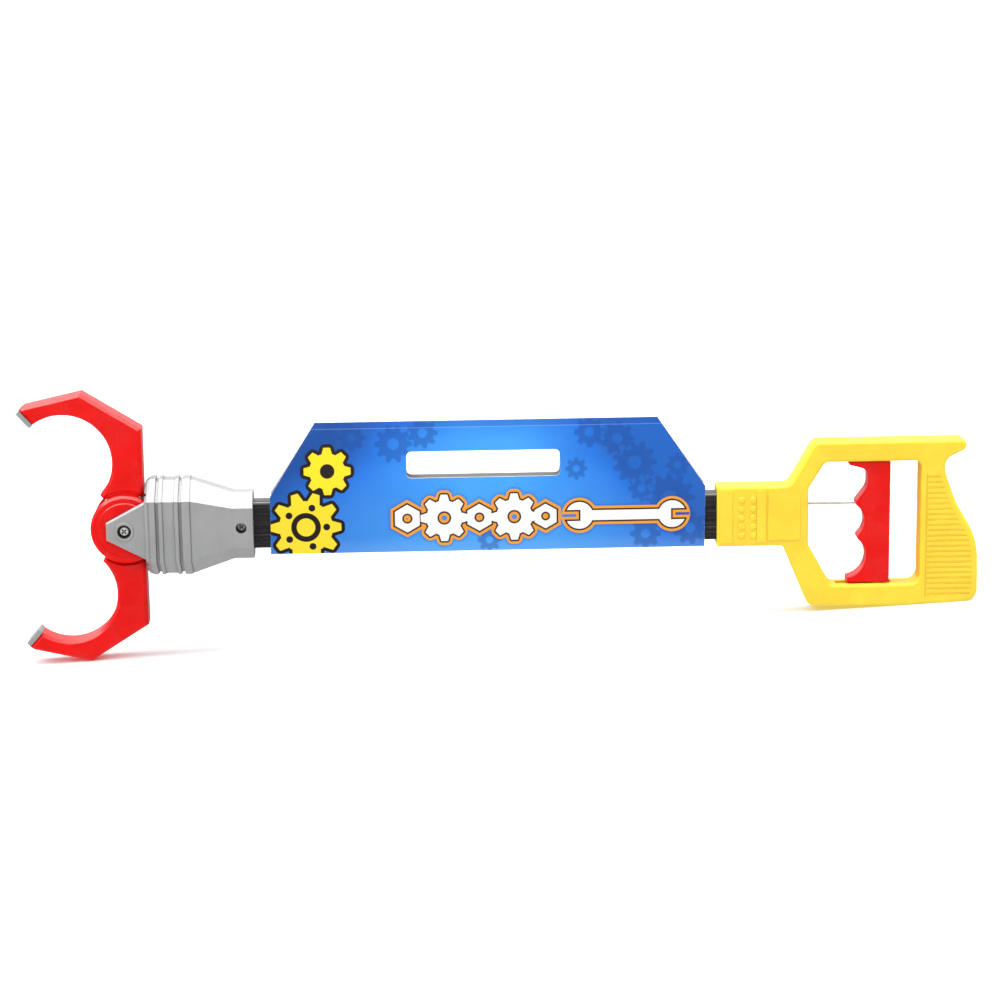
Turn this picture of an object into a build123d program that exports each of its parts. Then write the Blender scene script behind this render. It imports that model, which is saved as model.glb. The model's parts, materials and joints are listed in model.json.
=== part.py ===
from build123d import *
import os
from math import acos, cos, pi, radians, sin, sqrt, tan

# A toy pincer hand on a stick. Pulling the trigger in the handle draws a steel rod along the
# shaft, and the rod's rack fork turns both claws about one screw in the head.
# It stands as it is laid down: on the lower claw's corner and on the bottom of the handle.
#
# Stations are measured along the shaft from the claw pivot towards the handle, and heights
# square to the shaft, in the plane called side. Its normal points to the front, which is -Y.

os.makedirs("parts", exist_ok=True)

# ---------------------------------------------------------------- driving dimensions
shaft_tilt = 2.94           # degrees that the shaft slopes down towards the handle

claw_half_width = 7.45
claw_bevel = 1.8
claw_wall = 2.0
claw_top_corner = (-23.15, 79.73)
claw_rear_corner = (11.0, 58.3)
claw_heel = 10.8            # station of the claw's rear edge beside the hub
claw_tip_shoulder = (-56.3, 72.3)
jaw_centre = (-34.6, 39.0)  # centre of the hollow inside each claw
jaw_radius = 28.2
spur_angle = 125.6          # degrees, the end of the claw's foot round the hub
pad_angle = 131.5           # degrees, the pad's face points at the pivot
pad_inner = 80.0
pad_outer = 91.3
pad_thickness = 2.7

hub_radius = 20.0
hub_step_radius = 16.0
hub_face = 12.7             # distance of the hub's outer face from the middle plane
hub_step = 0.7
hub_plate = 4.5
hub_middle_gap = 0.2        # half of the gap between the two hubs
foot_radius = 20.7          # the claws' feet run round the other claw's hub

post_radius = 4.0
post_clearance = 0.06

tooth_module = 1.25
tooth_count = 18
pressure_angle = 20.0
tooth_slack = 0.14          # taken off each tooth's thickness, for backlash
rack_addendum = 1.15
bar_back = 15.5
bar_front = -12.5
bar_inner = 0.6             # the bar's inner and outer faces, from the middle plane
bar_outer = 7.6

tongue_inner = 13.3
tongue_outer = 16.3
tongue_nose = -10.4
tongue_ring = 0.5            # a raised ring round the pivot screw
pivot_seat = 13.9           # the screw heads' seats, from the middle plane
head_screw_seat = 7.2

head_front = 12.0
head_bevel = 1.6
head_wide_end = 39.2
head_taper_end = 62.5
head_end = 74.0
head_half_height = 27.8
head_half_depth = 18.1
head_flat_height = 17.5
head_flat_depth = 5.2
head_rear_half_height = 19.8
head_rear_half_depth = 12.7
head_rear_flat_height = 11.7
head_rear_flat_depth = 4.7
head_wall = 2.2
band_rise = 0.7
groove_depth = 0.8
head_screw_station = 67.2

shaft_half_height = 14.0
shaft_half_depth = 6.3
shaft_corner = 2.5
shaft_wall = 1.5
shaft_start = 54.0
shaft_end = 372.0
fit_gap = 0.06

rod_height = 5.5            # the pull rod lies above the shaft's centre line
rod_radius = 0.75
web_front = 22.5
web_rear = 27.0
spring_radius = 4.6
spring_wire = 0.45
spring_pitch = 2.8

handle_half_depth = 8.0
handle_round = 2.0
handle_wall = 2.2
socket_start = 343.6
socket_half_height = 18.0
window_front = 397.2
window_rear = 462.6
window_top = 31.4
window_bottom = -42.2
slot_start = 414.0
slot_end = 446.4
slot_half_width = 2.6

trigger_front = 420.0
trigger_rear = 445.2
trigger_foot = -41.5
trigger_half_depth = 5.2
rail_start = 421.4          # rails on the trigger run in the handle's slots
rail_length = 15.0
rail_half_width = 2.35

screw_radius = 1.5
screw_head_radius = 2.6
screw_head_height = 1.7

card_thickness = 0.5
card_gap = 0.5
card_top = 59.0
card_bend = 120.0           # radius of the panels' bend above the shaft
card_foot = 17.2            # the sleeve's fold hangs this far below the shaft's centre line

# ---------------------------------------------------------------- where everything lies
tilt = radians(shaft_tilt)
shaft_direction = (cos(tilt), 0, -sin(tilt))


def polar(radius, degrees_up):
    """Station and height at a radius and an angle about the claw pivot."""
    return (radius * cos(radians(degrees_up)), radius * sin(radians(degrees_up)))


def beside_pad(radius, back):
    """A point at a distance behind the upper pad's face, at a radius from the pivot."""
    station, height = polar(radius, pad_angle)
    return (station + back * sin(radians(pad_angle)), height - back * cos(radians(pad_angle)))


# The lower claw's corner rests on the floor, and the object's length is centred on the origin.
grip_rear = (497.0, -36.0)
pivot_height = claw_top_corner[1] * cos(tilt) + claw_top_corner[0] * sin(tilt)
pad_corner = polar(pad_outer, pad_angle)
reach_front = pad_corner[0] * cos(tilt) - pad_corner[1] * sin(tilt)
reach_rear = grip_rear[0] * cos(tilt) + grip_rear[1] * sin(tilt)
pivot_x = -(reach_front + reach_rear) / 2

side = Plane(origin=(pivot_x, 0, pivot_height), x_dir=shaft_direction, z_dir=(0, -1, 0))
shaft_axis = Axis(origin=side.origin, direction=shaft_direction)


def at(station, height, front=0.0):
    """The point at a station and a height, some way in front of the middle plane."""
    return side.from_local_coords((station, height, front))


def across(station, height=0.0):
    """A plane square to the shaft: its x is the depth (to the rear), its y is the height."""
    return Plane(origin=at(station, height), x_dir=(0, 1, 0), z_dir=shaft_direction)


def floor_height(station):
    """The height of the floor, square to the shaft, at a station."""
    return (station * sin(tilt) - pivot_height) / cos(tilt)


def save(piece, name):
    """Label one finished piece and write it."""
    piece.part.label = name
    export_step(piece.part, "parts/" + name + ".step")


# ---------------------------------------------------------------- claws
def claw_outline():
    """The upper claw's side view: a bent arm with a round hollow, and a foot round the hub."""
    with BuildSketch() as outline:
        Polygon(
            (0, 0),
            polar(30, spur_angle),
            beside_pad(70, pad_thickness),
            beside_pad(pad_outer + 0.5, pad_thickness),
            claw_tip_shoulder,
            claw_top_corner,
            claw_rear_corner,
            (claw_heel, 0),
            align=None,
        )
        with Locations(jaw_centre):
            Circle(jaw_radius, mode=Mode.SUBTRACT)
        Circle(foot_radius, mode=Mode.SUBTRACT)
    return outline.sketch


def flank_angle(radius):
    """Half the angle that a gear tooth fills at a radius, on an involute of its base circle."""
    pitch_radius = tooth_module * tooth_count / 2
    base_radius = pitch_radius * cos(radians(pressure_angle))
    turn = acos(min(1.0, base_radius / radius))
    start = tan(radians(pressure_angle)) - radians(pressure_angle)
    half_tooth = (pi * tooth_module - tooth_slack * 2) / 4 / pitch_radius
    return half_tooth + start - (tan(turn) - turn)


def gear_tooth():
    """One tooth of the sector, pointing along the station axis."""
    pitch_radius = tooth_module * tooth_count / 2
    foot = pitch_radius - 1.25 * tooth_module
    tip = pitch_radius + tooth_module
    steps = 5
    radii = [foot + (tip - foot) * step / steps for step in range(steps + 1)]
    upper = [(r * cos(flank_angle(r)), r * sin(flank_angle(r))) for r in radii]
    lower = [(x, -y) for x, y in reversed(upper)]
    return [(foot - 1, lower[-1][1]), (foot - 1, upper[0][1])] + upper + lower


def rack_tooth():
    """One straight-sided rack tooth, standing up from its root line."""
    depth = 1.25 * tooth_module + rack_addendum
    half_pitch = (pi * tooth_module - tooth_slack * 2) / 4
    slope = tan(radians(pressure_angle))
    half_foot = half_pitch + 1.25 * tooth_module * slope
    half_tip = half_pitch - rack_addendum * slope
    return [
        (-half_foot, -0.5),
        (half_foot, -0.5),
        (half_foot, 0),
        (half_tip, depth),
        (-half_tip, depth),
        (-half_foot, 0),
    ]


claw_side = claw_outline()
claw_pins = [(2.4, 36.0), (-24.0, 73.0)]
pin_radius = 1.0


def claw_shell(plane):
    """One half of a claw's hollow arm, from the parting plane outwards."""
    with BuildPart() as shell:
        with BuildSketch(plane):
            add(claw_side)
        extrude(amount=claw_half_width)
        chamfer(shell.faces().sort_by(Axis(plane.origin, plane.z_dir))[-1].edges(), length=claw_bevel)
        with BuildSketch(plane):
            add(claw_side)
            offset(amount=-claw_wall, kind=Kind.INTERSECTION, mode=Mode.REPLACE)
            with Locations(*claw_pins):
                Circle(pin_radius + 1.6, mode=Mode.SUBTRACT)
        extrude(amount=claw_half_width - claw_wall, mode=Mode.SUBTRACT)
    return shell.part


front_arm = claw_shell(side)
rear_arm = mirror(claw_shell(side), about=Plane.XZ)

with BuildPart() as upper_claw_front:
    add(front_arm)
    # The hub's outer plate, with a stepped face and a bevelled rim.
    with BuildSketch(side.offset(hub_face - hub_plate)):
        Circle(hub_radius)
    extrude(amount=hub_plate - hub_step)
    with BuildSketch(side.offset(hub_face - hub_plate)):
        Circle(hub_step_radius)
    extrude(amount=hub_plate)
    rim = upper_claw_front.edges().filter_by(GeomType.CIRCLE)
    outer_rim = rim.filter_by(lambda edge: abs(edge.radius - hub_radius) < 0.01).sort_by(Axis.Y)[0]
    chamfer(outer_rim, length=1.4)
    step_rim = upper_claw_front.edges().filter_by(GeomType.CIRCLE)
    inner_rim = step_rim.filter_by(lambda edge: abs(edge.radius - hub_step_radius) < 0.01).sort_by(Axis.Y)[0]
    chamfer(inner_rim, length=0.5)
    # The toothed sector faces the lower bar of the rack fork.
    with BuildSketch(side.offset(hub_middle_gap)):
        Circle(tooth_module * (tooth_count / 2 - 1.25))
        for tooth in range(-4, 2):
            with Locations(Rotation(0, 0, -90 + tooth * 360 / tooth_count)):
                Polygon(*gear_tooth(), align=None)
    extrude(amount=hub_face - hub_plate - hub_middle_gap)
    # The neck joins the hub to the foot of the arm.
    for inner, outer, outer_face in (
        (9.0, hub_radius, hub_face - hub_plate + 0.1),
        (19.0, foot_radius + 1.5, claw_half_width - 0.6),
    ):
        with BuildSketch(side.offset(hub_middle_gap)):
            Circle(outer)
            Circle(inner, mode=Mode.SUBTRACT)
            Polygon((0, 0), polar(40, 66), polar(40, 93), polar(40, 120), align=None, mode=Mode.INTERSECT)
        extrude(amount=outer_face - hub_middle_gap)
    with BuildSketch(side.offset(-1)):
        Circle(post_radius + post_clearance)
    extrude(amount=hub_face + 2, mode=Mode.SUBTRACT)
    # Sockets for the rear half's pins.
    with BuildSketch(side):
        with Locations(*claw_pins):
            Circle(pin_radius + 0.05)
    extrude(amount=3.4, mode=Mode.SUBTRACT)

with BuildPart() as upper_claw_rear:
    add(rear_arm)
    with BuildSketch(side.offset(-1)):
        with Locations(*claw_pins):
            Circle(pin_radius)
    extrude(amount=4)

with BuildPart() as upper_tip_pad:
    with BuildSketch(side.offset(-claw_half_width + 0.5)):
        Polygon(
            beside_pad(pad_inner, 0),
            beside_pad(pad_inner, pad_thickness),
            beside_pad(pad_outer, pad_thickness),
            beside_pad(pad_outer, 0),
            align=None,
        )
    extrude(amount=claw_half_width * 2 - 1)
    pad_edges = upper_tip_pad.edges().filter_by(lambda edge: edge.length < 3 or edge.length > 12)
    fillet(pad_edges, radius=0.5)

# The lower claw is the same mouldings, turned half a turn about the shaft.
with BuildPart() as lower_claw_rear:
    add(upper_claw_front.part.rotate(shaft_axis, 180))

with BuildPart() as lower_claw_front:
    add(upper_claw_rear.part.rotate(shaft_axis, 180))

with BuildPart() as lower_tip_pad:
    add(upper_tip_pad.part.rotate(shaft_axis, 180))

save(upper_claw_front, "upper_claw_front")
save(upper_claw_rear, "upper_claw_rear")
save(upper_tip_pad, "upper_tip_pad")
save(lower_claw_front, "lower_claw_front")
save(lower_claw_rear, "lower_claw_rear")
save(lower_tip_pad, "lower_tip_pad")


# ---------------------------------------------------------------- head
def octagon(half_depth, half_height, flat_depth, flat_height):
    """Corners of an eight-sided section, in depth and height."""
    right = [
        (flat_depth, half_height),
        (half_depth, flat_height),
        (half_depth, -flat_height),
        (flat_depth, -half_height),
    ]
    return right + [(-depth, height) for depth, height in reversed(right)]


def wide_section(grow):
    """The head's wide section, grown or shrunk all round."""
    flat = grow * 0.4
    return octagon(
        head_half_depth + grow,
        head_half_height + grow,
        head_flat_depth + flat,
        head_flat_height + flat,
    )


def rear_section(grow):
    """The head's narrow rear section, grown or shrunk all round."""
    flat = grow * 0.4
    return octagon(
        head_rear_half_depth + grow,
        head_rear_half_height + grow,
        head_rear_flat_depth + flat,
        head_rear_flat_height + flat,
    )


# Rings round the head: raised ones, and the grooves between them.
raised_rings = [(14.7, 18.2), (20.2, 22.4), (29.4, 31.6), (33.6, 38.2)]
sunk_rings = [(18.2, 20.2), (31.6, 33.6)]


def shaft_section(grow):
    """The shaft's rounded section, grown all round."""
    with BuildSketch() as section:
        RectangleRounded(
            2 * (shaft_half_depth + grow), 2 * (shaft_half_height + grow), shaft_corner + grow
        )
    return section.sketch


def head_casing():
    """Both halves of the head's casing together, hollow, with the mouth for the claws' hubs."""
    with BuildPart() as casing:
        with BuildSketch(across(head_front)):
            Polygon(*wide_section(-head_bevel), align=None)
        with BuildSketch(across(head_front + head_bevel)):
            Polygon(*wide_section(0), align=None)
        loft()
        with BuildSketch(across(head_front + head_bevel)):
            Polygon(*wide_section(0), align=None)
        extrude(amount=head_wide_end - head_front - head_bevel)
        with BuildSketch(across(head_wide_end)):
            Polygon(*wide_section(0), align=None)
        with BuildSketch(across(head_taper_end)):
            Polygon(*rear_section(0), align=None)
        loft()
        with BuildSketch(across(head_taper_end)):
            Polygon(*rear_section(0), align=None)
        extrude(amount=head_end - head_taper_end)
        for start, end in raised_rings:
            with BuildSketch(across(start)):
                Polygon(*wide_section(band_rise), align=None)
            extrude(amount=end - start)
        for start, end in sunk_rings:
            with BuildSketch(across(start)):
                Polygon(*wide_section(band_rise + 2), align=None)
                Polygon(*wide_section(-groove_depth), align=None, mode=Mode.SUBTRACT)
            extrude(amount=end - start, mode=Mode.SUBTRACT)
        # The hollow follows the outside.
        with BuildSketch(across(head_front + head_wall)):
            Polygon(*wide_section(-head_wall), align=None)
        extrude(amount=head_wide_end - head_front - head_wall, mode=Mode.SUBTRACT)
        with BuildSketch(across(head_wide_end)):
            Polygon(*wide_section(-head_wall), align=None)
        with BuildSketch(across(head_taper_end)):
            Polygon(*rear_section(-head_wall), align=None)
        loft(mode=Mode.SUBTRACT)
        with BuildSketch(across(head_taper_end)):
            Polygon(*rear_section(-head_wall), align=None)
        extrude(amount=head_end - head_wall - head_taper_end, mode=Mode.SUBTRACT)
        # A rib round the shaft, in front of its screw.
        with BuildSketch(across(59.0)):
            Polygon(*rear_section(-0.6), align=None)
        extrude(amount=2)
        with BuildSketch(across(shaft_start)):
            add(shaft_section(fit_gap))
        extrude(amount=head_end - shaft_start + 1, mode=Mode.SUBTRACT)
        # The mouth.
        with BuildSketch(across(head_front - 1)):
            Rectangle(2 * tongue_inner, 2 * (hub_radius + 1.2))
        extrude(amount=head_wall + 2, mode=Mode.SUBTRACT)
    return casing.part


casing = head_casing()
tongue_points = [(tongue_nose, 5.1), (head_front + 1, 17.5), (head_front + 1, -17.5), (tongue_nose, -5.1)]


def tongue():
    """One of the two cheeks that hold the claw pivot, in front of the middle plane."""
    with BuildPart() as cheek:
        with BuildSketch(side.offset(tongue_inner)):
            Polygon(*tongue_points, align=None)
        extrude(amount=tongue_outer - tongue_inner)
        chamfer(cheek.faces().sort_by(Axis.Y)[0].edges(), length=0.8)
        with BuildSketch(side.offset(tongue_inner)):
            Circle(5.6)
        extrude(amount=tongue_outer + tongue_ring - tongue_inner)
        fillet(cheek.faces().sort_by(Axis.Y)[0].edges(), radius=0.4)
    return cheek.part


cheek = tongue()

with BuildPart() as head_front_shell:
    add(casing)
    split(bisect_by=Plane.XZ, keep=Keep.TOP)
    add(cheek)
    # A rail keeps the lower bar of the fork in mesh.
    with BuildSketch(side.offset(bar_inner)):
        with Locations((30, -bar_back - 1.4)):
            Rectangle(16, 2)
    extrude(amount=head_half_depth - 1.2 - bar_inner)
    # A boss carries the rear screw's head.
    with BuildSketch(side.offset(shaft_half_depth + 0.1)):
        with Locations((head_screw_station, 0)):
            Circle(4.6)
    extrude(amount=head_rear_half_depth - shaft_half_depth - 1)
    with BuildSketch(side.offset(pivot_seat)):
        Circle(4.0)
    extrude(amount=4, mode=Mode.SUBTRACT)
    with BuildSketch(side.offset(head_screw_seat)):
        with Locations((head_screw_station, 0)):
            Circle(3.1)
    extrude(amount=6, mode=Mode.SUBTRACT)
    with BuildSketch(side):
        with Locations((0, 0), (head_screw_station, 0)):
            Circle(screw_radius + 0.15)
    extrude(amount=20, mode=Mode.SUBTRACT)

with BuildPart() as head_rear_shell:
    add(casing)
    split(bisect_by=Plane.XZ, keep=Keep.BOTTOM)
    add(mirror(cheek, about=Plane.XZ))
    # The post that both claws turn on.
    with BuildSketch(side.offset(-tongue_inner - 1)):
        Circle(post_radius)
    extrude(amount=2 * tongue_inner + 0.95)
    with BuildSketch(side.offset(-bar_inner)):
        with Locations((30, bar_back + 1.4)):
            Rectangle(16, 2)
    extrude(amount=-(head_half_depth - 1.2 - bar_inner))
    with BuildSketch(side.offset(-shaft_half_depth - 0.1)):
        with Locations((head_screw_station, 0)):
            Circle(3.6)
    extrude(amount=-(head_rear_half_depth - shaft_half_depth - 1))
    # Blind holes for the two screws.
    with BuildSketch(side.offset(-10.4)):
        with Locations((0, 0), (head_screw_station, 0)):
            Circle(screw_radius + 0.03)
    extrude(amount=30, mode=Mode.SUBTRACT)

save(head_front_shell, "head_front_shell")
save(head_rear_shell, "head_rear_shell")


# ---------------------------------------------------------------- screws
def pan_screw(plane, length):
    """A self-tapping screw whose head sits on the plane, with a cross recess."""
    with BuildPart() as screw:
        with BuildSketch(plane):
            Circle(screw_head_radius)
        extrude(amount=screw_head_height)
        fillet(screw.faces().sort_by(Axis(plane.origin, plane.z_dir))[-1].edges(), radius=1.0)
        with BuildSketch(plane):
            Circle(screw_radius)
        extrude(amount=-length)
        chamfer(screw.faces().sort_by(Axis(plane.origin, plane.z_dir))[0].edges(), length=0.8)
        with BuildSketch(plane.offset(screw_head_height - 1.1)):
            Rectangle(3.4, 0.9)
            Rectangle(0.9, 3.4)
        extrude(amount=2, mode=Mode.SUBTRACT)
    return screw.part


def seat(station, height, front):
    """The plane that a front screw's head sits on."""
    return Plane(origin=at(station, height, front), x_dir=(0.8, 0, 0.6), z_dir=(0, -1, 0))


pivot_screw_part = pan_screw(seat(0, 0, pivot_seat), 22)
with BuildPart() as pivot_screw:
    add(pivot_screw_part)
head_screw_part = pan_screw(seat(head_screw_station, 0, head_screw_seat), 16.5)
with BuildPart() as head_screw:
    add(head_screw_part)

save(pivot_screw, "pivot_screw")
save(head_screw, "head_screw")

# ---------------------------------------------------------------- pull rod and rack fork
pitch_height = tooth_module * tooth_count / 2
root_height = pitch_height + 1.25 * tooth_module
tooth_pitch = pi * tooth_module


def rack_bar():
    """The lower bar, in front of the middle plane, with its teeth up against the sector."""
    with BuildPart() as bar:
        with BuildSketch(side.offset(bar_inner)):
            Polygon(
                (bar_front, -root_height),
                (web_front + 1, -root_height),
                (web_front + 1, -bar_back),
                (bar_front + 1.5, -bar_back),
                (bar_front, -bar_back + 1.5),
                align=None,
            )
            for number in range(-3, 2):
                with Locations(((number + 0.5) * tooth_pitch, -root_height)):
                    Polygon(*rack_tooth(), align=None)
        extrude(amount=bar_outer - bar_inner)
    return bar.part


lower_bar = rack_bar()

with BuildPart() as rack_fork:
    add(lower_bar)
    add(lower_bar.rotate(shaft_axis, 180))
    with BuildSketch(across(web_front)):
        Rectangle(2 * bar_outer, 2 * bar_back)
    extrude(amount=web_rear - web_front)
    with BuildSketch(across(web_rear, rod_height)):
        Circle(3.4)
    extrude(amount=4)
    with BuildSketch(across(web_front - 1, rod_height)):
        Circle(rod_radius + 0.05)
    extrude(amount=12, mode=Mode.SUBTRACT)

rod_start = web_front - 4.5
rod_end = trigger_rear - 0.8
with BuildPart() as pull_rod:
    with BuildSketch(across(rod_start, rod_height)):
        Circle(rod_radius)
    extrude(amount=rod_end - rod_start)

with BuildPart() as rod_ferrules:
    for station in (web_front - 4.02, trigger_rear - 4.98):
        with BuildSketch(across(station, rod_height)):
            Circle(2.1)
            Circle(rod_radius + 0.03, mode=Mode.SUBTRACT)
        extrude(amount=4)

with BuildPart() as spring_seat:
    with BuildSketch(across(shaft_start - 1.5)):
        RectangleRounded(2 * shaft_half_depth - 0.4, 2 * shaft_half_height - 0.4, shaft_corner - 0.2)
    extrude(amount=1.45)
    with BuildSketch(across(shaft_start - 0.1)):
        add(shaft_section(-shaft_wall - fit_gap))
    extrude(amount=8)
    with BuildSketch(across(shaft_start - 2, rod_height)):
        Circle(rod_radius + 0.4)
    extrude(amount=12, mode=Mode.SUBTRACT)

spring_start = web_rear + 0.1 + spring_wire
spring_end = shaft_start - 1.6 - spring_wire
with BuildPart() as return_spring:
    with BuildLine() as coil:
        Helix(
            pitch=spring_pitch,
            height=spring_end - spring_start,
            radius=spring_radius,
            center=at(spring_start, rod_height),
            direction=shaft_direction,
        )
    with BuildSketch(Plane(origin=coil.line @ 0, z_dir=coil.line % 0)):
        Circle(spring_wire)
    sweep()

save(rack_fork, "rack_fork")
save(pull_rod, "pull_rod")
save(rod_ferrules, "rod_ferrules")
save(spring_seat, "spring_seat")
save(return_spring, "return_spring")

# ---------------------------------------------------------------- shaft
handle_screw_station = 360.0

with BuildPart() as shaft_tube:
    with BuildSketch(across(shaft_start)):
        add(shaft_section(0))
        add(shaft_section(-shaft_wall), mode=Mode.SUBTRACT)
    extrude(amount=shaft_end - shaft_start)
    # A shallow channel runs along both broad faces.
    with BuildSketch(across(shaft_start)):
        with Locations((shaft_half_depth, 0), (-shaft_half_depth, 0)):
            Rectangle(1.0, 11.4)
    extrude(amount=shaft_end - shaft_start, mode=Mode.SUBTRACT)
    with BuildSketch(side.offset(-10)):
        with Locations((head_screw_station, 0), (handle_screw_station, 0)):
            Circle(screw_radius + 0.15)
    extrude(amount=20, mode=Mode.SUBTRACT)

save(shaft_tube, "shaft_tube")


# ---------------------------------------------------------------- handle
def handle_outline():
    """The handle's side view: a socket, a frame round the hand and a pistol-shaped back."""
    foot_start = 455.0
    corners = (
        ((477.2, 32.2), 7.0),
        ((488.2, 37.6), 3.0),
        ((490.8, 43.6), 3.2),
        ((400.6, 43.6), 5.0),
        ((386.0, socket_half_height), 6.0),
        ((socket_start, socket_half_height), 1.6),
        ((socket_start, -socket_half_height), 1.6),
        ((382.4, -socket_half_height), 3.0),
        ((397.8, -54.9), 6.0),
        ((foot_start, floor_height(foot_start)), 0),
        ((grip_rear[0], floor_height(grip_rear[0])), 7.0),
        (grip_rear, 0),
        ((496.4, -15.5), 44.0),
        ((484.0, 5.0), 40.0),
        ((476.6, 25.0), 12.0),
    )
    with BuildSketch() as outline:
        Polygon(*[point for point, radius in corners], align=None)
        for point, radius in corners:
            if radius:
                fillet(outline.vertices().sort_by_distance(point)[0], radius)
    return outline.sketch


def window_outline():
    """The opening for the hand and the trigger."""
    with BuildSketch() as window:
        Polygon(
            (window_front, 16.2),
            (406.8, window_top),
            (window_rear, window_top),
            (window_rear, window_bottom),
            (410.6, window_bottom),
            (window_front, -17.5),
            align=None,
        )
        fillet(window.vertices().sort_by(Axis.X)[:4], 4.5)
        fillet(window.vertices().sort_by_distance((window_rear, window_top))[0], 3.5)
        fillet(window.vertices().sort_by_distance((window_rear, window_bottom))[0], 6.0)
    return window.sketch


handle_side = handle_outline()
window_side = window_outline()
handle_screw_points = [
    (406.5, 37.5),
    (471.0, 37.2),
    (476.0, -6.0),
    (486.5, -43.5),
    (405.0, -47.0),
    (388.5, -8.5),
]


def handle_casing():
    """Both halves of the handle together, hollow, with the socket for the shaft."""
    with BuildPart() as casing:
        with BuildSketch(side):
            add(handle_side)
            add(window_side, mode=Mode.SUBTRACT)
        extrude(amount=handle_half_depth, both=True)
        fillet(casing.faces().sort_by(Axis.Y)[0].edges(), radius=handle_round)
        fillet(casing.faces().sort_by(Axis.Y)[-1].edges(), radius=handle_round)
        with BuildSketch(side):
            add(handle_side)
            offset(amount=-handle_wall, kind=Kind.INTERSECTION, mode=Mode.REPLACE)
            with Locations((300, 0)):
                Rectangle(149.0, 200, mode=Mode.SUBTRACT)
            with BuildSketch(mode=Mode.SUBTRACT):
                add(window_side)
                offset(amount=handle_wall, kind=Kind.INTERSECTION, mode=Mode.REPLACE)
            with Locations(*handle_screw_points):
                Circle(3.4, mode=Mode.SUBTRACT)
        extrude(amount=handle_half_depth - handle_wall, both=True, mode=Mode.SUBTRACT)
        with BuildSketch(across(socket_start - 1)):
            add(shaft_section(fit_gap))
        extrude(amount=shaft_end + 0.2 - socket_start + 1, mode=Mode.SUBTRACT)
        with BuildSketch(across(shaft_end - 1, rod_height)):
            Circle(rod_radius + 0.4)
        extrude(amount=window_front + 2 - shaft_end, mode=Mode.SUBTRACT)
        # Slots in the window's floor and ceiling guide the trigger.
        with BuildSketch(side):
            for height in (window_top + 1, window_bottom - 1):
                with Locations(((slot_start + slot_end) / 2, height)):
                    Rectangle(slot_end - slot_start, 3.2)
        extrude(amount=slot_half_width, both=True, mode=Mode.SUBTRACT)
    return casing.part


def handle_relief():
    """What stands out of the handle's front face: a collar, a band, a panel and ten studs."""
    with BuildPart() as relief:
        with BuildSketch(side.offset(handle_half_depth - 1)):
            with Locations((socket_start + 5.4, 0)):
                Rectangle(7.4, 2 * socket_half_height - 5)
            with Locations((369.6, 0)):
                Rectangle(5.6, 2 * socket_half_height - 5)
            with Locations((382.9, -0.4)):
                RectangleRounded(18.8, 28.0, 0.8)
        extrude(amount=1.5)
        with BuildSketch(side.offset(handle_half_depth - 1)):
            with Locations((361.4, -0.6)):
                with GridLocations(6.7, 5.3, 2, 5):
                    Circle(1.9)
        extrude(amount=1.9)
        fillet(relief.faces().filter_by(Plane.XZ).sort_by(Axis.Y)[:10].edges(), radius=0.8)
    return relief.part


def grip_grooves():
    """Level grooves across the back of the handle, inside a plain rim."""
    groove_pitch = 3.2
    groove_width = 1.1
    groove_cut = 0.35
    with BuildSketch() as stripes:
        for number in range(23):
            with Locations((480, -48.6 + number * groove_pitch)):
                Rectangle(27, groove_width)
    with BuildSketch() as field:
        add(handle_side)
        offset(amount=-3.8, kind=Kind.INTERSECTION, mode=Mode.REPLACE)
        with Locations((417, 0)):
            Rectangle(100, 200, mode=Mode.SUBTRACT)
        add(stripes.sketch, mode=Mode.INTERSECT)
        with Locations((466.2, -13.4)):
            Rectangle(0.7, 74)
    with BuildPart() as grooves:
        with BuildSketch(side.offset(handle_half_depth - groove_cut)):
            add(field.sketch)
        extrude(amount=2)
    return grooves.part


handle_both = handle_casing()
relief = handle_relief()
grooves = grip_grooves()

with BuildPart() as handle_front_shell:
    add(handle_both)
    split(bisect_by=Plane.XZ, keep=Keep.TOP)
    add(relief)
    add(grooves, mode=Mode.SUBTRACT)
    with BuildSketch(side.offset(-0.5)):
        with Locations(*handle_screw_points):
            Circle(screw_radius + 0.03)
    extrude(amount=6, mode=Mode.SUBTRACT)

with BuildPart() as handle_rear_shell:
    add(handle_both)
    split(bisect_by=Plane.XZ, keep=Keep.BOTTOM)
    add(mirror(relief, about=Plane.XZ))
    add(mirror(grooves, about=Plane.XZ), mode=Mode.SUBTRACT)
    with BuildSketch(side):
        with Locations(*handle_screw_points, (handle_screw_station, 0)):
            Circle(screw_radius + 0.15)
    extrude(amount=-12, mode=Mode.SUBTRACT)
    with BuildSketch(side.offset(-5.4)):
        with Locations(*handle_screw_points):
            Circle(3.1)
    extrude(amount=-4, mode=Mode.SUBTRACT)

with BuildPart() as handle_screws:
    for station, height in handle_screw_points:
        add(pan_screw(Plane(origin=at(station, height, -5.4), x_dir=(1, 0, 0), z_dir=(0, 1, 0)), 9.5))

save(handle_front_shell, "handle_front_shell")
save(handle_rear_shell, "handle_rear_shell")
save(handle_screws, "handle_screws")

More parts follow.
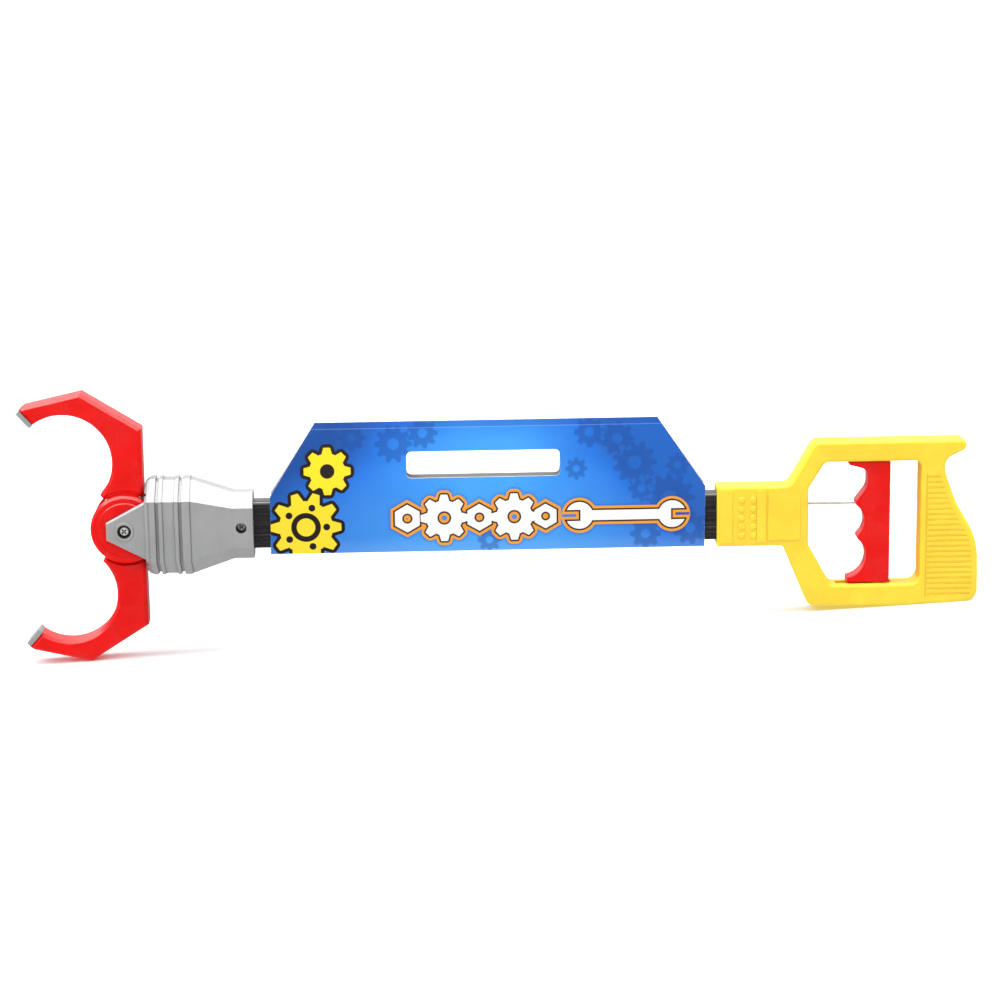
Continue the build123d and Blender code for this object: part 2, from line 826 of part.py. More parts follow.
# ---------------------------------------------------------------- trigger
with BuildPart() as trigger:
    with BuildSketch(side.offset(-trigger_half_depth)) as trigger_side:
        with BuildLine():
            outline = Polyline(
                (424.1, 5.8),
                (431.9, 16.2),
                (431.7, 26.3),
                (trigger_front + 1.4, 29.0),
                (trigger_front, 30.9),
                (trigger_rear, 30.9),
                (trigger_rear, trigger_foot),
                (trigger_front + 0.4, trigger_foot),
                (trigger_front + 0.6, -38.4),
            )
            hollow = ThreePointArc(outline @ 0, (430.3, -4.8), (424.7, -14.2))
            ThreePointArc(hollow @ 1, (431.4, -26.2), outline @ 1)
        make_face()
        for knuckle in (hollow @ 0, hollow @ 1):
            fillet(trigger_side.vertices().sort_by_distance(knuckle)[0], 2.2)
        fillet(trigger_side.vertices().sort_by_distance((431.9, 16.2))[0], 9.0)
        fillet(trigger_side.vertices().sort_by_distance((431.7, 26.3))[0], 5.0)
        for back_corner in ((trigger_rear, 30.9), (trigger_rear, trigger_foot)):
            fillet(trigger_side.vertices().sort_by_distance(back_corner)[0], 0.6)
    extrude(amount=2 * trigger_half_depth)
    fillet(trigger.faces().sort_by(Axis.Y)[0].edges(), radius=0.6)
    fillet(trigger.faces().sort_by(Axis.Y)[-1].edges(), radius=0.6)
    # Rails on its ends run in the handle's slots.
    with BuildSketch(side.offset(-rail_half_width)):
        for height in (32.4, -43.2):
            with Locations((rail_start + rail_length / 2, height)):
                Rectangle(rail_length, 6.0)
    extrude(amount=2 * rail_half_width)
    # The rod passes through, and its ferrule sits in the back.
    with BuildSketch(across(trigger_front, rod_height)):
        Circle(rod_radius + 0.05)
    extrude(amount=30, mode=Mode.SUBTRACT)
    with BuildSketch(across(trigger_rear - 5, rod_height)):
        Circle(2.2)
    extrude(amount=10, mode=Mode.SUBTRACT)

save(trigger, "trigger")

# ---------------------------------------------------------------- display card
card_side_depth = shaft_half_depth + card_gap + card_thickness
card_knee = shaft_half_height + card_gap + card_thickness


def sleeve_section(inset, ridge):
    """The sleeve's section: panels that stand beside the shaft, then bend and lean together."""
    half = card_side_depth - inset
    with BuildSketch() as section:
        Polygon(
            (half, inset - card_foot),
            (half, card_knee),
            (ridge, card_top - inset * 12),
            (-ridge, card_top - inset * 12),
            (-half, card_knee),
            (-half, inset - card_foot),
            align=None,
        )
        for knee in ((half, card_knee), (-half, card_knee)):
            fillet(section.vertices().sort_by_distance(knee)[0], card_bend)
    return section.sketch


with BuildPart() as display_card:
    # A sleeve folded under the shaft, whose two panels meet along the top.
    with BuildSketch(across(80)):
        add(sleeve_section(0, card_thickness))
        add(sleeve_section(card_thickness, 0.05), mode=Mode.SUBTRACT)
    extrude(amount=260)
    with BuildSketch(side):
        Polygon(
            (83.6, -20),
            (84.0, 17.0),
            (111.4, card_top + 1),
            (308.8, card_top + 1),
            (337.0, 18.6),
            (336.4, -20),
            align=None,
        )
    extrude(amount=20, both=True, mode=Mode.INTERSECT)
    with BuildSketch(side):
        with Locations((208.0, 33.8)):
            RectangleRounded(89.2, 15.2, 3)
    extrude(amount=20, both=True, mode=Mode.SUBTRACT)

save(display_card, "display_card")
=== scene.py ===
import bpy
import json
from math import cos, pi, radians, sin
from mathutils import Matrix, Vector


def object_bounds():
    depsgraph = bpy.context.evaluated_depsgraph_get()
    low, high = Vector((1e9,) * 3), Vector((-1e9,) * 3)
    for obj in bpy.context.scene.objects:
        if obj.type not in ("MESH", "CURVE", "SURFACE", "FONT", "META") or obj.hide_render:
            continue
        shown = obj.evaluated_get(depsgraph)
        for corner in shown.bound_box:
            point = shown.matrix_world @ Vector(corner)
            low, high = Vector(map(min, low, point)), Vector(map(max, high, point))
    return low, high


# The looks of a toy pincer hand on a stick: moulded plastic, zinc screws, a steel rod and a printed
# card sleeve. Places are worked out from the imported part: stations run along the shaft from the
# claw pivot, heights run square to it, and depths run from the middle plane to the rear, all in mm.

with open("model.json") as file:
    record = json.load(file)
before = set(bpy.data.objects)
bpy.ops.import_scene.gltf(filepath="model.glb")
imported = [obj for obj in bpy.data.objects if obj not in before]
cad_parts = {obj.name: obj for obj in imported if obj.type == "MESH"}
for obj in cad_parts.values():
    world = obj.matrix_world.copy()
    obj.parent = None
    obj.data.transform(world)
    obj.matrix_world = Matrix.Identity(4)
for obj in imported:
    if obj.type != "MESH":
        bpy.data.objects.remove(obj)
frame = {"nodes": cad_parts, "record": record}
cad_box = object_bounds()

MM = 0.001
MM_PER_METRE = 1000
ROUNDING = 0.35             # mm, the rounding of moulded and cut edges
SEAM_HALF_WIDTH = 0.05      # mm, of the parting line between two shells
joints = {joint["name"]: joint for joint in frame["record"]["behaviour"]["joints"]}
pivot = Vector(joints["upper_claw_pivot"]["pos_m"])
along = Vector(joints["trigger_pull"]["axis"]).normalized()
to_rear = Vector((0, 1, 0))
upward = along.cross(to_rear)


# ---------------------------------------------------------------- node maths
class Wire:
    """A value that a material's nodes work out, so that node maths reads as plain maths."""

    def __init__(self, tree, socket):
        self.tree = tree
        self.socket = socket

    def math(self, operation, *others):
        node = self.tree.nodes.new("ShaderNodeMath")
        node.operation = operation
        for slot, value in zip(node.inputs, (self, *others)):
            plug(slot, value)
        return Wire(self.tree, node.outputs[0])

    def __add__(self, other):
        return self.math("ADD", other)

    def __sub__(self, other):
        return self.math("SUBTRACT", other)

    def __mul__(self, other):
        return self.math("MULTIPLY", other)

    def __truediv__(self, other):
        return self.math("DIVIDE", other)

    def size(self):
        return self.math("ABSOLUTE")

    def most(self, other):
        return self.math("MAXIMUM", other)

    def least(self, other):
        return self.math("MINIMUM", other)

    def ramp(self, start, end, low=0.0, high=1.0):
        """Low up to start, high from end on, and smooth between them."""
        node = self.tree.nodes.new("ShaderNodeMapRange")
        node.interpolation_type = "SMOOTHSTEP"
        for name, value in (
            ("Value", self),
            ("From Min", start),
            ("From Max", end),
            ("To Min", low),
            ("To Max", high),
        ):
            plug(node.inputs[name], value)
        return Wire(self.tree, node.outputs[0])


def plug(slot, value):
    """Joins a wire to an input, or sets the input to a plain value."""
    if isinstance(value, Wire):
        value.tree.links.new(value.socket, slot)
    else:
        slot.default_value = value


def length_of(x, y):
    return (x * x + y * y).math("SQRT")


def mix(factor, below, above):
    """The colour below where the factor is 0, and the colour above where it is 1."""
    node = factor.tree.nodes.new("ShaderNodeMix")
    node.data_type = "RGBA"
    plug(node.inputs["Factor"], factor)
    for slot, colour in ((node.inputs[6], below), (node.inputs[7], above)):
        plug(slot, colour if isinstance(colour, Wire) else (*colour, 1.0))
    return Wire(factor.tree, node.outputs[2])


class Surface:
    """A material being made: its shader, and where a point lies on the part, in mm."""

    def __init__(self, name):
        self.material = bpy.data.materials.new(name)
        self.material.use_nodes = True
        self.tree = self.material.node_tree
        self.shader = self.tree.nodes["Principled BSDF"]
        place = self.tree.nodes.new("ShaderNodeTexCoord")
        self.facing = Wire(self.tree, place.outputs["Normal"])
        from_pivot = self.vector("SUBTRACT", Wire(self.tree, place.outputs["Object"]), pivot)
        self.station = self.dot(from_pivot, along) * MM_PER_METRE
        self.depth = self.dot(from_pivot, to_rear) * MM_PER_METRE
        self.height = self.dot(from_pivot, upward) * MM_PER_METRE

    def vector(self, operation, first, second):
        node = self.tree.nodes.new("ShaderNodeVectorMath")
        node.operation = operation
        plug(node.inputs[0], first)
        plug(node.inputs[1], second)
        return Wire(self.tree, node.outputs[1 if operation == "DOT_PRODUCT" else 0])

    def dot(self, first, second):
        return self.vector("DOT_PRODUCT", first, second)

    def noise(self, scale, stretch=(1, 1, 1), detail=2.0, distortion=0.0):
        """Soft noise about 0.5, with a scale per mm and a stretch along station, depth and height."""
        join = self.tree.nodes.new("ShaderNodeCombineXYZ")
        for slot, value, factor in zip(join.inputs, (self.station, self.depth, self.height), stretch):
            plug(slot, value * (scale * factor))
        node = self.tree.nodes.new("ShaderNodeTexNoise")
        node.inputs["Scale"].default_value = 1.0
        node.inputs["Detail"].default_value = detail
        node.inputs["Distortion"].default_value = distortion
        self.tree.links.new(join.outputs[0], node.inputs["Vector"])
        return Wire(self.tree, node.outputs[0])

    def cells(self, scale):
        """Distance from the middle of round cells, with a scale per mm."""
        join = self.tree.nodes.new("ShaderNodeCombineXYZ")
        for slot, value in zip(join.inputs, (self.station, self.depth, self.height)):
            plug(slot, value * scale)
        node = self.tree.nodes.new("ShaderNodeTexVoronoi")
        node.inputs["Scale"].default_value = 1.0
        self.tree.links.new(join.outputs[0], node.inputs["Vector"])
        return Wire(self.tree, node.outputs["Distance"])

    def scratches(self, scale, stretch, width=0.010):
        """1 on thin wandering lines that run the way the stretch is least, and 0 elsewhere."""
        wander = self.noise(scale, stretch, detail=3.0, distortion=0.4)
        lines = (wander - 0.5).size().ramp(0.0, width, 1.0, 0.0)
        patches = self.noise(0.07).ramp(0.48, 0.62)
        return lines * patches

    def ring(self, station, height, radius, width=0.35):
        """1 on a thin circle seen from the side, such as the mark of an ejector pin."""
        away = length_of(self.station - station, self.height - height)
        return (away - radius).size().ramp(width * 0.5, width, 1.0, 0.0)

    def seam(self):
        """1 on the parting line round the middle plane, and 0 elsewhere."""
        return self.depth.size().ramp(SEAM_HALF_WIDTH, SEAM_HALF_WIDTH + 0.09, 1.0, 0.0)

    def edges(self, radius):
        """Rounds the sharp edges by a radius in mm, and gives 1 along them and 0 on the flats."""
        bevel = self.tree.nodes.new("ShaderNodeBevel")
        bevel.samples = 4
        bevel.inputs["Radius"].default_value = radius * MM
        self.rounded = bevel.outputs[0]
        geometry = self.tree.nodes.new("ShaderNodeNewGeometry")
        flat = self.dot(Wire(self.tree, self.rounded), Wire(self.tree, geometry.outputs["Normal"]))
        return flat.ramp(0.98, 0.80)

    def hollows(self, reach):
        """1 deep in the narrow places of this one part, and 0 on open faces, as a mask for painted shade.
        The reach is in mm.
        """
        shade = self.tree.nodes.new("ShaderNodeAmbientOcclusion")
        shade.samples = 6
        shade.only_local = True
        shade.inputs["Distance"].default_value = reach * MM
        return Wire(self.tree, shade.outputs["AO"]).ramp(0.92, 0.45)

    def finish(self, colour, roughness, relief, **plain):
        """Joins colour, roughness and a relief in mm to the shader, and sets the rest as plain values."""
        plug(self.shader.inputs["Base Color"], colour)
        plug(self.shader.inputs["Roughness"], roughness)
        bump = self.tree.nodes.new("ShaderNodeBump")
        bump.inputs["Distance"].default_value = MM
        plug(bump.inputs["Height"], relief)
        self.tree.links.new(self.rounded, bump.inputs["Normal"])
        self.tree.links.new(bump.outputs[0], self.shader.inputs["Normal"])
        for name, value in plain.items():
            self.shader.inputs[name.replace("_", " ").title().replace("Ior", "IOR")].default_value = value
        return self.material


# ---------------------------------------------------------------- plastics
def moulded(name, colour, deep, pale, shade, hollow_shade, gloss, marks, matt_shade_from=None):
    """Moulded plastic: flow streaks, faint scratches, worn edges, pin marks, a parting line and painted
    shade in the hollows.

    Past the station in the last argument, faces that look towards the claws are made rougher and darkened
    with painted shade.
    """
    s = Surface(name)
    edge = s.edges(ROUNDING)
    flow = s.noise(0.045, detail=3.0, distortion=1.2)
    cloud = s.noise(0.012, detail=1.0)
    tint = mix(flow.ramp(0.30, 0.72), deep, colour)
    worn = edge * s.noise(0.35, detail=4.0).ramp(0.42, 0.62)
    tint = mix(worn * 0.35, tint, pale)
    fine = s.scratches(0.5, (0.12, 1.0, 1.6)).most(s.scratches(0.45, (1.5, 1.0, 0.10)))
    tint = mix(fine * 0.10, tint, pale)
    relief = s.noise(1.1, detail=2.0) * 0.010 + cloud * 0.25 - fine * 0.004
    for station, height, radius in marks:
        relief = relief + s.ring(station, height, radius) * 0.03
    seam = s.seam()
    relief = relief - seam * 0.06
    tint = mix(seam * 0.35, tint, deep)
    # Painted shade: the narrow places of the part are darkened towards the shade colour.
    tint = mix(s.hollows(1.2) * hollow_shade, tint, shade)
    smudge = s.noise(0.09, detail=4.0).ramp(0.40, 0.75, 0.0, 0.10)
    roughness = smudge + gloss + worn * 0.12 + fine * 0.15
    # Painted shade: past the given station, faces that look towards the claws are darkened towards the
    # shade colour, and made rougher.
    if matt_shade_from is not None:
        matt_shade = s.station.ramp(matt_shade_from, matt_shade_from + 3.0) * s.dot(s.facing, along).ramp(-0.80, -0.95)
        tint = mix(matt_shade * 0.85, tint, shade)
        roughness = roughness + matt_shade * 0.40
    return s.finish(tint, roughness, relief)


def red_plastic():
    marks = [(-12.0, 62.0, 2.2), (1.5, 44.0, 2.2), (-12.0, -62.0, 2.2), (1.5, -44.0, 2.2)]
    marks += [(437.5, 22.0, 1.8), (438.5, -24.0, 1.8)]
    base, deep = (0.86, 0.004, 0.003), (0.77, 0.003, 0.002)
    worn, shade = (0.93, 0.05, 0.035), (0.42, 0.003, 0.003)
    return moulded("red_plastic", base, deep, worn, shade, 0.45, 0.17, marks)


def yellow_plastic():
    marks = [(466.4, -39.0, 0.5), (466.4, -43.6, 0.5), (420.0, 37.6, 2.4), (450.0, 37.6, 2.4)]
    base, deep = (0.97, 0.72, 0.035), (0.95, 0.65, 0.028)
    worn, shade = (0.99, 0.86, 0.18), (0.80, 0.44, 0.014)
    return moulded("yellow_plastic", base, deep, worn, shade, 0.18, 0.36, marks, matt_shade_from=455.0)


def grey_plastic():
    """Silver-grey plastic with fine flakes and polishing lines that run up and down, and painted shade in
    its hollows and front screw counterbores.
    """
    s = Surface("grey_plastic")
    edge = s.edges(ROUNDING)
    flakes = s.cells(7.0).ramp(0.15, 0.60)
    lines = s.noise(1.0, (2.4, 0.25, 0.08), detail=4.0)
    cloud = s.noise(0.05, detail=3.0, distortion=0.8)
    tint = mix(cloud.ramp(0.3, 0.7), (0.345, 0.347, 0.351), (0.385, 0.387, 0.391))
    tint = mix(flakes * 0.12, tint, (0.62, 0.62, 0.62))
    tint = mix(lines.ramp(0.46, 0.62) * 0.14, tint, (0.26, 0.262, 0.266))
    worn = edge * s.noise(0.4, detail=4.0).ramp(0.40, 0.62)
    tint = mix(worn * 0.45, tint, (0.80, 0.80, 0.79))
    fine = s.scratches(0.5, (1.6, 1.0, 0.12))
    seam = s.seam()
    tint = mix(seam * 0.5, tint, (0.16, 0.16, 0.165))
    # Painted shade: the narrow places of the part are darkened almost to black.
    tint = mix(s.hollows(1.3) * 0.65, tint, (0.030, 0.030, 0.032))
    # Painted shade: on the front, the screw counterbores are filled with near-black.
    in_front = s.depth.ramp(-3.0, -4.0)
    shaded_screw_wells = ((0.0, 4.02), (67.2, 3.12))
    for station, radius in shaded_screw_wells:
        well_shade = (length_of(s.station - station, s.height) - radius).ramp(0.04, -0.04)
        tint = mix(well_shade * in_front * 0.9, tint, (0.022, 0.022, 0.023))
    relief = lines * 0.008 + s.noise(0.9) * 0.008 - fine * 0.003 - seam * 0.06
    roughness = lines * 0.10 + s.noise(0.11, detail=4.0) * 0.08 + 0.22 + worn * 0.06
    return s.finish(tint, roughness, relief, metallic=0.12)


def black_plastic():
    """Glossy extruded plastic, with fine lines along the shaft and pale dust."""
    s = Surface("black_plastic")
    edge = s.edges(0.3)
    drawn = s.noise(1.3, (0.012, 1.0, 1.0), detail=4.0)
    fine = s.scratches(0.6, (0.10, 1.2, 1.6), width=0.014)
    tint = mix(drawn.ramp(0.4, 0.7), (0.022, 0.020, 0.021), (0.044, 0.041, 0.041))
    tint = mix((fine * 0.35).most(edge * 0.15), tint, (0.10, 0.10, 0.10))
    dust = s.cells(0.30).ramp(0.05, 0.035) * s.noise(0.2).ramp(0.5, 0.6)
    tint = mix(dust * 0.5, tint, (0.35, 0.34, 0.33))
    relief = drawn * 0.012 + s.noise(0.05) * 0.15 - fine * 0.004
    roughness = drawn * 0.10 + 0.06 + fine * 0.15 + dust * 0.4
    return s.finish(tint, roughness, relief, specular_ior_level=0.85)


def inner_plastic():
    """Natural acetal, waxy and slightly yellow, with grease about the teeth."""
    s = Surface("inner_plastic")
    edge = s.edges(0.25)
    cloud = s.noise(0.15, detail=3.0)
    smears = s.noise(0.22, detail=4.0, distortion=1.0).ramp(0.52, 0.66)
    grease = smears * s.station.ramp(10.0, 24.0, 1.0, 0.0)
    tint = mix(cloud.ramp(0.3, 0.7), (0.66, 0.64, 0.58), (0.76, 0.75, 0.70))
    tint = mix(edge * 0.3, tint, (0.86, 0.85, 0.81))
    tint = mix(grease * 0.5, tint, (0.42, 0.38, 0.27))
    relief = s.noise(1.2) * 0.012 + s.noise(6.0) * 0.003
    roughness = cloud * 0.15 + 0.36 - grease * 0.2
    return s.finish(tint, roughness, relief)


def grey_rubber():
    """Closed-cell foam pads: small pits, a skin with a few scuffs, and paler cut edges."""
    s = Surface("grey_rubber")
    edge = s.edges(0.3)
    pits = s.cells(2.2).ramp(0.10, 0.55)
    crumbs = s.noise(3.0, detail=4.0)
    tint = mix(crumbs.ramp(0.35, 0.65), (0.26, 0.275, 0.27), (0.37, 0.385, 0.375))
    tint = mix(pits.ramp(0.5, 0.0) * 0.5, tint, (0.16, 0.17, 0.165))
    tint = mix(edge * 0.45, tint, (0.50, 0.515, 0.50))
    relief = pits * 0.10 + crumbs * 0.05
    roughness = crumbs * 0.2 + 0.68
    return s.finish(tint, roughness, relief)


# ---------------------------------------------------------------- metals
def metal(name, colour, dark, gloss, grain, scale):
    """Bare or plated steel: grain lines, small stains and bright worn edges."""
    s = Surface(name)
    edge = s.edges(0.15)
    drawn = s.noise(scale, grain, detail=4.0)
    stain = s.noise(0.35, detail=5.0).ramp(0.52, 0.72)
    tint = mix(drawn.ramp(0.35, 0.65), dark, colour)
    tint = mix(stain * 0.35, tint, (0.30, 0.27, 0.22))
    tint = mix(edge * 0.5, tint, (0.85, 0.85, 0.83))
    # Painted shade: the narrow places of the part are darkened almost to black.
    tint = mix(s.hollows(1.4) * 0.9, tint, (0.03, 0.03, 0.03))
    relief = drawn * 0.012 + s.noise(2.0) * 0.006
    roughness = drawn * 0.16 + stain * 0.15 + gloss
    return s.finish(tint, roughness, relief, metallic=0.25)


# ---------------------------------------------------------------- printed card
# Shapes of ink, as distances in mm: above 0 inside a shape, and below 0 outside it.
def disc(x, y, radius):
    return length_of(x, y) * -1.0 + radius


def bar(x, y, half_length, half_width):
    past_end = x.size() - half_length
    past_side = y.size() - half_width
    outside = length_of(past_end.most(0.0), past_side.most(0.0))
    return (outside + past_end.most(past_side).least(0.0)) * -1.0


def one_sector(x, y, count):
    """Folds the plane into one sector of a shape that repeats round its middle."""
    turn = y.math("ARCTAN2", x).math("PINGPONG", pi / count)
    away = length_of(x, y)
    return away * turn.math("COSINE"), away * turn.math("SINE")


def cog(x, y, tip, teeth):
    """A cog with straight teeth that narrow towards their tips."""
    root = tip * 0.76
    reach, side = one_sector(x, y, teeth)
    taper = (reach - root) * 0.30
    tooth = bar(reach - tip * 0.5, side + taper.most(0.0), tip * 0.5, tip * 0.56 * sin(pi / teeth))
    return disc(x, y, root).most(tooth)


def hexagon(x, y, flat):
    reach, _ = one_sector(x, y, 6)
    return reach * -1.0 + flat


def without(shape, hole):
    return shape.least(hole * -1.0)


def spanner(x, y, half_length):
    """An open-ended spanner lying along x, with a jaw at each end."""
    mirrored = x.size() - half_length
    shank = bar(x, y, half_length, 3.0)
    head = disc(mirrored, y, 8.0)
    jaw = bar(mirrored - 6.0, y, 6.6, 3.3)
    return without(shank.most(head), jaw)


def tool_row(s):
    """The white row of hardware across the middle: nuts, two cogs and a spanner."""
    middle = 2.6
    nuts = ((163.4, 7.2, 3.0), (205.3, 7.0, 2.9), (243.8, 6.4, 2.6))
    cogs = (184.9, 225.6)
    spanner_middle = 290.5
    y = s.height - middle
    row = spanner(s.station - spanner_middle, y, 27.0)
    for station, flat, hole in nuts:
        x = s.station - station
        row = row.most(without(hexagon(x, y, flat), disc(x, y, hole)))
    for station in cogs:
        x = s.station - station
        row = row.most(without(cog(x, y, 13.8, 8), disc(x, y, 4.0)))
    return row


def emblem(s):
    """Two yellow cogs in mesh in the lower front corner, and the black marks on them."""
    large_x, large_y = s.station - 104.5, s.height + 1.5
    small_x, small_y = s.station - 117.5, s.height - 31.0
    yellow = cog(large_x, large_y, 20.5, 10).most(cog(small_x, small_y, 13.6, 8))
    black = disc(small_x, small_y, 4.2)
    black = black.most(without(disc(large_x, large_y, 8.6), disc(large_x, large_y, 5.4)))
    reach, side = one_sector(large_x, large_y, 5)
    black = black.most(disc(reach - 12.0, side, 2.0))
    return yellow, black


def faint_cogs(s):
    """Soft cogs in the background, overlapping towards the handle and along the top."""
    shapes = (
        (286.0, 47.0, 10.0, 9),
        (296.0, 33.0, 13.0, 11),
        (321.0, 31.0, 7.0, 8),
        (316.0, 12.0, 15.0, 12),
        (300.0, 18.0, 8.0, 8),
        (328.0, -6.0, 10.0, 9),
        (302.0, -9.0, 9.0, 8),
        (270.0, 51.0, 9.0, 8),
        (262.0, 30.0, 6.5, 8),
        (156.0, 46.0, 11.0, 10),
        (173.0, 52.0, 9.0, 9),
        (132.0, 50.0, 8.0, 8),
        (211.0, -11.0, 7.0, 8),
    )
    total = None
    for station, height, tip, teeth in shapes:
        x, y = s.station - station, s.height - height
        one = without(cog(x, y, tip, teeth), disc(x, y, tip * 0.3)).ramp(-0.5, 0.6)
        total = one if total is None else total + one
    return total.math("PINGPONG", 1.0)


def printed_card():
    """Blue print on white board: cogs, a row of tools, a crease under the top and worn edges."""
    s = Surface("printed_card")
    edge = s.edges(ROUNDING)
    cloud = s.noise(0.03, detail=3.0)
    far_end = s.height.ramp(46.0, -15.0, 300.0, 388.0)
    near_end = s.height.ramp(48.0, -5.0, 112.0, 30.0)
    glow = s.station.ramp(near_end, 208.0) * s.station.ramp(far_end, 220.0)
    glow = glow * s.height.ramp(42.0, 58.0, 1.0, 0.75) + (cloud - 0.5) * 0.30
    glow = glow.most(s.station.ramp(225.0, 270.0, 0.0, 0.18)).least(1.0)
    ink = mix((glow * 2.8).least(1.0), (0.004, 0.066, 0.31), (0.009, 0.16, 0.67))
    ink = mix(((glow - 0.35) * 1.54).most(0.0), ink, (0.048, 0.335, 0.88))
    ink = mix(s.height.ramp(-7.0, -17.0) * 0.16, ink, (0.34, 0.62, 0.95))
    ink = mix(faint_cogs(s) * 0.50, ink, (0.004, 0.058, 0.30))
    crease_height = 55.2
    ink = mix(s.height.ramp(crease_height, crease_height + 0.4) * 0.35, ink, (0.014, 0.07, 0.40))
    crease = (s.height - crease_height).size().ramp(0.12, 0.35, 1.0, 0.0)
    ink = mix(crease * 0.22, ink, (0.35, 0.55, 0.85))

    row = tool_row(s)
    ink = mix(row.ramp(-4.8, -2.6) * 0.35, ink, (0.010, 0.05, 0.30))
    ink = mix(row.ramp(-2.60, -2.40), ink, (0.86, 0.33, 0.020))
    ink = mix(row.ramp(-1.02, -0.88), ink, (0.045, 0.010, 0.014))
    ink = mix(row.ramp(-0.08, 0.08), ink, (0.88, 0.88, 0.88))
    yellow, black = emblem(s)
    ink = mix(yellow.ramp(-2.2, -2.0), ink, (0.020, 0.012, 0.012))
    ink = mix(yellow.ramp(-0.08, 0.08), ink, (0.94, 0.70, 0.012))
    ink = mix(black.ramp(-0.08, 0.08), ink, (0.020, 0.012, 0.012))

    # Ink lies on the two broad faces and under the fold. Cut edges and the inside are bare board.
    fold_height = -16.2
    outward = s.dot(s.facing, to_rear) * s.depth.math("SIGN")
    under = s.height.ramp(fold_height, fold_height - 0.15) * s.dot(s.facing, upward).ramp(-0.5, -0.8)
    printed = outward.ramp(0.4, 0.6).most(under)
    scuffed = edge * s.noise(0.5, detail=4.0).ramp(0.40, 0.60) * 0.75
    fibres = s.noise(1.6, (0.4, 1.0, 1.0), detail=4.0)
    board = mix(fibres, (0.74, 0.73, 0.70), (0.88, 0.87, 0.85))
    tint = mix(printed * (scuffed * -1.0 + 1.0), board, ink)
    relief = fibres * 0.010 + s.noise(0.018, detail=1.0) * 1.1 - crease * 0.05
    roughness = fibres * 0.12 + s.noise(0.06, detail=3.0) * 0.10 + 0.30 + scuffed * 0.2
    return s.finish(tint, roughness, relief)


# ---------------------------------------------------------------- finishes for the CAD parts
def paint_parts():
    """Gives each CAD node the finish of its slot in the record."""
    finishes = {
        "red_plastic": red_plastic(),
        "yellow_plastic": yellow_plastic(),
        "grey_plastic": grey_plastic(),
        "black_plastic": black_plastic(),
        "inner_plastic": inner_plastic(),
        "grey_rubber": grey_rubber(),
        "printed_card": printed_card(),
        "screw_steel": metal("screw_steel", (0.95, 0.94, 0.88), (0.82, 0.81, 0.76), 0.20, (1, 1, 1), 1.2),
        "rod_steel": metal("rod_steel", (0.82, 0.81, 0.77), (0.62, 0.60, 0.56), 0.22, (0.03, 1, 1), 4.0),
        "spring_steel": metal("spring_steel", (0.55, 0.55, 0.55), (0.36, 0.36, 0.37), 0.24, (1, 1, 1), 2.0),
    }
    for entry in frame["record"]["subparts"]:
        for slot in frame["nodes"][entry["node"]].material_slots:
            slot.material = finishes[entry["material_slot"]]


# ---------------------------------------------------------------- studio
def lay_floor():
    """A pale studio floor with a faint grain, under and far behind the toy."""
    near, far, half_width = -3.0, 14.0, 8.0
    corners = [(-half_width, near), (half_width, near), (half_width, far), (-half_width, far)]
    mesh = bpy.data.meshes.new("floor")
    mesh.from_pydata([(x, y, cad_box[0][2] - 0.1 * MM) for x, y in corners], [], [(0, 1, 2, 3)])
    floor = bpy.data.objects.new("floor", mesh)
    bpy.context.collection.objects.link(floor)
    s = Surface("floor")
    s.edges(0.1)
    grain = s.noise(0.02, detail=4.0)
    tint = mix(grain, (0.80, 0.80, 0.80), (0.84, 0.84, 0.84))
    mesh.materials.append(s.finish(tint, grain * 0.1 + 0.5, grain * 0.01))
    floor.visible_glossy = False
    floor.visible_diffuse = False


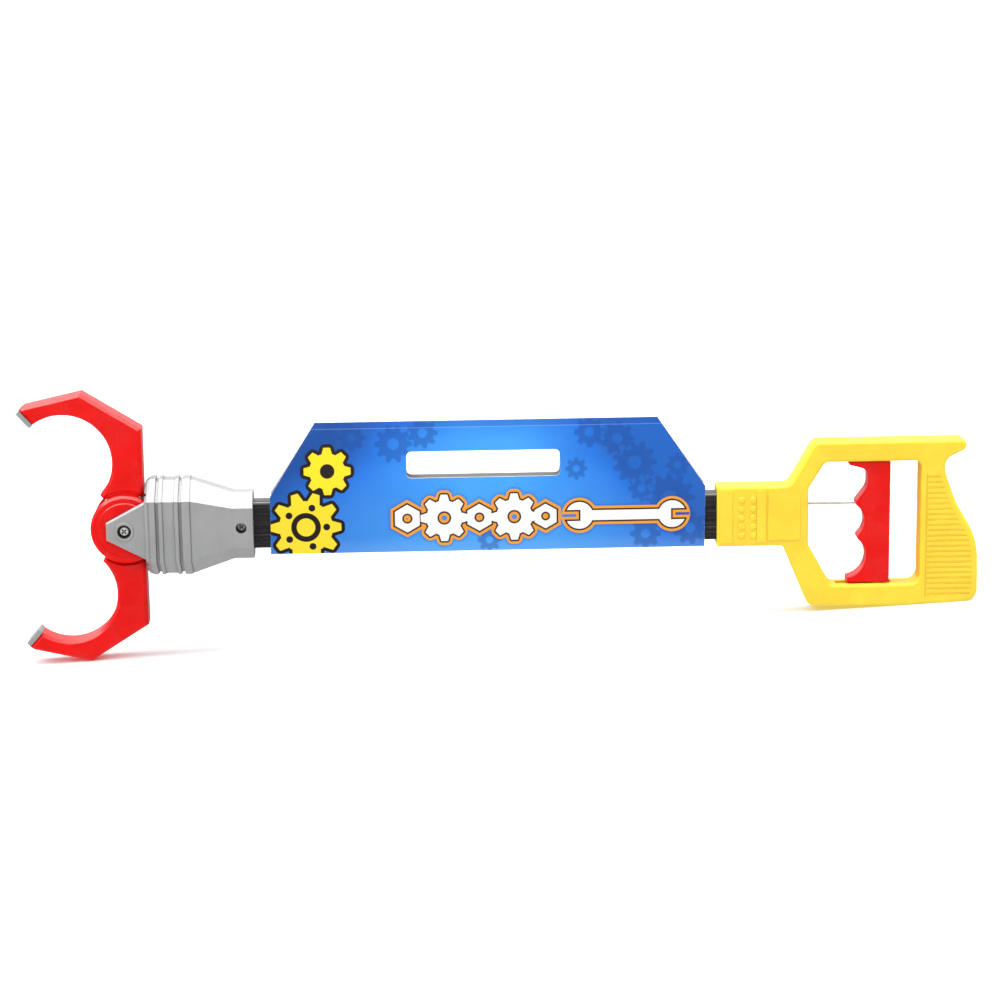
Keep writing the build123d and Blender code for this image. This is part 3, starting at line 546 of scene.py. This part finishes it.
def light_studio():
    """A soft dome, a bright panel overhead, and a floor's bounce with no mirror image low in front."""
    world = bpy.data.worlds.new("studio")
    bpy.context.scene.world = world
    world.use_nodes = True
    tree = world.node_tree
    direction = tree.nodes.new("ShaderNodeTexCoord").outputs["Generated"]
    split = tree.nodes.new("ShaderNodeSeparateXYZ")
    tree.links.new(direction, split.inputs[0])
    rise = Wire(tree, split.outputs["Z"])
    back = Wire(tree, split.outputs["Y"])
    band_strength, panel_strength, floor_strength = 1.35, 7.0, 1.38
    dome = back.ramp(-0.35, 0.25, 0.10, 0.80)
    front_band = rise.ramp(0.36, 0.56) * back.ramp(0.10, -0.25) * band_strength
    lean = back.size() / rise.most(0.001)
    panel = lean.ramp(0.34, 0.22) * rise.ramp(0.55, 0.70) * panel_strength
    above = (dome + front_band).most(panel)
    mirrored = rise.ramp(-0.30, -0.90, 0.04, 0.14).most(back.ramp(-0.05, 0.40, 0.0, 0.35))
    glossy = Wire(tree, tree.nodes.new("ShaderNodeLightPath").outputs["Is Glossy Ray"])
    under = glossy * mirrored + (glossy * -1.0 + 1.0) * floor_strength
    strength = above * rise.ramp(-0.02, 0.02) + under * rise.ramp(0.02, -0.02)
    plug(tree.nodes["Background"].inputs["Strength"], strength)
    tree.nodes["Background"].inputs["Color"].default_value = (1, 1, 1, 1)

    target = Vector((0, 0, cad_box[1][2] / 2))
    place = Vector((-0.8, -1.2, 1.6))
    data = bpy.data.lights.new("key", "AREA")
    data.size = 1.0
    data.energy = 7.0
    lamp = bpy.data.objects.new("key", data)
    lamp.location = place
    lamp.rotation_euler = (target - place).to_track_quat("-Z", "Y").to_euler()
    bpy.context.collection.objects.link(lamp)
    bpy.context.scene.view_settings.view_transform = "Standard"


def make_camera():
    """A long lens a little above the toy and almost square to it, rolled to level the shaft."""
    azimuth, elevation, roll = radians(-0.62), radians(13.06), radians(-3.80)
    distance = 1.6995
    target = Vector((0.00256, 0.0, 0.07826))
    back = Vector((sin(azimuth) * cos(elevation), -cos(azimuth) * cos(elevation), sin(elevation)))
    level = Vector((cos(azimuth), sin(azimuth), 0))
    upright = back.cross(level)
    right = level * cos(roll) + upright * sin(roll)
    up = upright * cos(roll) - level * sin(roll)
    data = bpy.data.cameras.new("camera")
    data.sensor_width = 36.0
    data.lens = 104.9
    data.clip_end = 20
    camera = bpy.data.objects.new("camera", data)
    turn = Matrix((right, up, back)).transposed().to_4x4()
    camera.matrix_world = Matrix.Translation(target + back * distance) @ turn
    bpy.context.collection.objects.link(camera)
    bpy.context.scene.camera = camera


paint_parts()
lay_floor()
light_studio()
make_camera()
